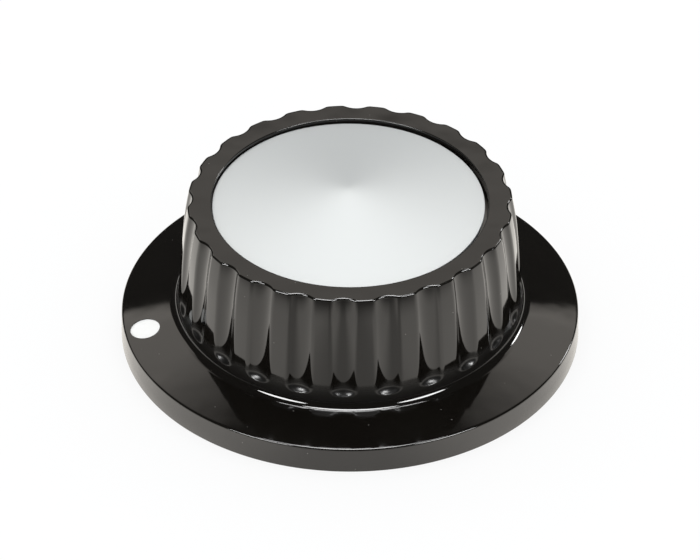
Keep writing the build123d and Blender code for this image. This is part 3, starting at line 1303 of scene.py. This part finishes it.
@dataclass
class Studio:
    """Pale floor, soft lamps and the camera at the photograph's angle."""

    camera_bearing_deg: float = 167.1     # direction from the knob to the camera, from +X
    camera_height_deg: float = 37.65
    camera_distance: float = 1.1328       # m
    camera_clip: Band = (0.01, 50.0)      # m
    lens: float = 467.4                   # mm
    sensor: float = 36.0                  # mm
    aim_height: float = 0.00772           # m
    floor_half: float = 4.0               # m
    floor_drop: float = 0.00002           # m, keeps the floor and the rim's foot from sharing a plane
    paper: MattPaper = field(default_factory=MattPaper)
    lamps: tuple[Lamp, ...] = (
        Lamp("lamp_left", -46.0, 38.0, 27.0, 15.0, 26.0, only="moulding"),
        Lamp("lamp_right", 49.0, 38.0, 27.0, 15.0, 26.0, only="moulding"),
        Lamp("lamp_over", 0.0, 81.5, 30.0, 13.0, 24.0, only="moulding"),
        Lamp("lamp_over_back", 180.0, 77.0, 30.0, 18.0, 20.0, only="moulding"),
        Lamp("lamp_high", 166.0, 68.0, 90.0, 38.0, 2.0, only="inlay"),
        Lamp("lamp_back_right", 128.0, 28.0, 11.0, 11.0, 25.0, only="moulding"),
        Lamp(
            "panel", 180.0, 45.5, 80.0, 21.0, 1.5,
            distance=3.0, lights_matt=True, tint="#fff8ef", face=Face.OBLONG, graded=True,
        ),
    )
    lamp_aim: float = 0.01                # m, what the lamps face, above the floor
    room_tint: str = "#f2f4f6"
    room_light: float = 1.32              # what matt surfaces get from the whole room
    room_gloss: float = 0.05              # the dark room that gloss shows between the lamps
    panel_arch: float = 2.0               # how far the panel's foot arches up to its sides
    panel_strip: Band = (0.03, 0.12)      # shares of the panel's width, outwards, at the strip's soft sides
    panel_middle: float = 0.58            # share of the panel's light in the strip up its middle
    panel_rise: tuple[tuple[float, float], ...] = (
        (0.015, 0.3), (0.05, 0.72), (0.09, 1.14), (0.16, 0.98), (0.5, 1.0), (0.72, 0.6), (0.9, 0.25),
    )                                     # share of the panel's light by share of its depth

    def from_camera(self, right: float, away: float, up: float) -> Vector:
        """Turn a place given from the camera's side into the knob's frame.

        Args:
            right: To the camera's right.
            away: Away from the camera along the floor.
            up: Above the floor.

        Returns:
            The same place in the knob's frame.
        """
        turn = math.radians(self.camera_bearing_deg - 270.0)
        return Matrix.Rotation(turn, 3, "Z") @ Vector((right, away, up))

    def stand_lamp(self, lamp: Lamp) -> None:
        """Stand one lamp at its bearing and height, facing the knob.

        A flat lamp's power is its radiance, where one is a white wall, times its area times pi.

        Args:
            lamp: What the lamp is and where it stands.
        """
        bearing, height = math.radians(lamp.bearing_deg), math.radians(lamp.height_deg)
        back = self.from_camera(
            math.sin(bearing) * math.cos(height), -math.cos(bearing) * math.cos(height), math.sin(height)
        )
        right = self.from_camera(1.0, 0.0, 0.0)
        side = (right - back * right.dot(back)).normalized()
        data = bpy.data.lights.new(lamp.name, "AREA")
        data.shape = lamp.face.value
        data.size, data.size_y = (
            2.0 * lamp.distance * math.tan(0.5 * math.radians(spread))
            for spread in (lamp.width_deg, lamp.depth_deg)
        )
        share = 0.25 * math.pi if lamp.face is Face.OVAL else 1.0
        data.energy = lamp.radiance * data.size * data.size_y * share * math.pi
        data.color = linear(lamp.tint)[:3]
        if lamp.graded:
            self.grade(data)
        stand = bpy.data.objects.new(lamp.name, data)
        stand.matrix_world = (
            Matrix.Translation(Vector((0.0, 0.0, self.lamp_aim)) + back * lamp.distance)
            @ Matrix((side, back.cross(side), back)).transposed().to_4x4()
        )
        stand.visible_diffuse = lamp.lights_matt
        if lamp.only:
            lit = bpy.data.collections.new(f"{lamp.name}_lights")
            lit.objects.link(bpy.data.objects[lamp.only])
            stand.light_linking.receiver_collection = lit
        bpy.context.scene.collection.objects.link(stand)

    def grade(self, data: bpy.types.Light) -> None:
        """Grade a lamp's face.

        It starts softly at its arched foot, fades to its top, and is dimmer in a soft strip up its middle.
        The face's own height runs from one at its foot to zero at its top.

        Args:
            data: The lamp's data.
        """
        data.use_nodes = True
        tree = data.node_tree
        tree.nodes.clear()
        face = add_node(tree, "ShaderNodeNewGeometry").outputs["Parametric"]
        split = add_node(tree, "ShaderNodeSeparateXYZ", {}, {0: face})
        off = add_node(tree, "ShaderNodeMath", {"operation": "SUBTRACT", 1: 0.5}, {0: split.outputs["X"]})
        aside = add_node(tree, "ShaderNodeMath", {"operation": "ABSOLUTE"}, {0: off.outputs[0]})
        arch = add_node(tree, "ShaderNodeMath", {"operation": "POWER", 1: 2.0}, {0: aside.outputs[0]})
        down = add_node(
            tree, "ShaderNodeMath", {"operation": "MULTIPLY_ADD", 1: self.panel_arch},
            {0: arch.outputs[0], 2: split.outputs["Y"]},
        )
        up = add_node(tree, "ShaderNodeMath", {"operation": "SUBTRACT", 0: 1.0}, {1: down.outputs[0]})
        rise = add_node(tree, "ShaderNodeValToRGB", {}, {"Fac": up.outputs[0]})
        for place, level in self.panel_rise:
            stop = rise.color_ramp.elements.new(place)
            stop.color = (level, level, level, 1.0)
        for stop in (rise.color_ramp.elements[0], rise.color_ramp.elements[-1]):
            stop.color = (0.0, 0.0, 0.0, 1.0)
        strip = add_node(
            tree, "ShaderNodeMapRange",
            {"interpolation_type": "SMOOTHSTEP", "From Min": self.panel_strip[0],
             "From Max": self.panel_strip[1], "To Min": self.panel_middle},
            {"Value": aside.outputs[0]},
        )
        level = both(tree, rise.outputs["Color"], strip.outputs["Result"])
        glow = add_node(tree, "ShaderNodeEmission", {}, {"Strength": level})
        add_node(tree, "ShaderNodeOutputLight", {}, {"Surface": glow.outputs[0]})

    def light(self) -> None:
        """Stand the lamps and set the dim room around them."""
        for lamp in self.lamps:
            self.stand_lamp(lamp)
        world = bpy.data.worlds.new("room")
        bpy.context.scene.world = world
        world.use_nodes = True
        tree = world.node_tree
        tree.nodes.clear()
        path = add_node(tree, "ShaderNodeLightPath")
        tint = linear(self.room_tint)
        room = add_node(tree, "ShaderNodeBackground", {"Color": tint, "Strength": self.room_light})
        dim = add_node(tree, "ShaderNodeBackground", {"Color": tint, "Strength": self.room_gloss})
        white = add_node(tree, "ShaderNodeBackground", {"Color": linear("#ffffff"), "Strength": 1.0})
        gloss = add_node(
            tree, "ShaderNodeMixShader", {},
            {0: path.outputs["Is Glossy Ray"], 1: room.outputs[0], 2: dim.outputs[0]},
        )
        seen = add_node(
            tree, "ShaderNodeMixShader", {},
            {0: path.outputs["Is Camera Ray"], 1: gloss.outputs[0], 2: white.outputs[0]},
        )
        add_node(tree, "ShaderNodeOutputWorld", {}, {"Surface": seen.outputs[0]})

    def lay_floor(self) -> None:
        """Lay the pale floor, one flat sheet of paper just under the knob's rim."""
        half = self.floor_half
        corners = np.array([[-half, -half], [half, -half], [half, half], [-half, half]]) / METRES_PER_MM
        points = np.column_stack([corners, np.full(4, -self.floor_drop / METRES_PER_MM)])
        floor = new_piece("floor", points, [[0, 1, 2, 3]])
        floor.data.materials.append(self.paper.build(self.from_camera(1.0, 0.0, 0.0)))

    def set_camera(self) -> None:
        """Stand the camera at the photograph's angle with a long lens."""
        data = bpy.data.cameras.new("camera")
        data.lens, data.sensor_width = self.lens, self.sensor
        data.clip_start, data.clip_end = self.camera_clip
        camera = bpy.data.objects.new("camera", data)
        height = math.radians(self.camera_height_deg)
        aim = Vector((0.0, 0.0, self.aim_height))
        toward = self.from_camera(0.0, -math.cos(height), math.sin(height))
        camera.matrix_world = (
            Matrix.Translation(aim + toward * self.camera_distance)
            @ toward.to_track_quat("Z", "Y").to_matrix().to_4x4()
        )
        bpy.context.scene.collection.objects.link(camera)
        bpy.context.scene.camera = camera

    def build(self) -> None:
        """Set up floor, light, camera and plain colour handling."""
        self.lay_floor()
        self.light()
        self.set_camera()
        bpy.context.scene.view_settings.view_transform = "Standard"


def report(piece: bpy.types.Object) -> None:
    """Log a piece's name and the size of its mesh."""
    LOG.info("%s: %d points, %d faces", piece.name, len(piece.data.vertices), len(piece.data.polygons))


def main() -> None:
    """Build the knob's pieces and the studio."""
    logging.basicConfig(level=logging.INFO, format="%(message)s")
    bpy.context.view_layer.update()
    sizes = KnobSizes()
    for part in (Moulding(sizes), Inlay(sizes), IndexDot(sizes)):
        piece = part.build()
        part.dress(piece)
        report(piece)
    for piece in ShaftClamp().dress():
        report(piece)
    Studio().build()


if __name__ == "__main__":
    main()
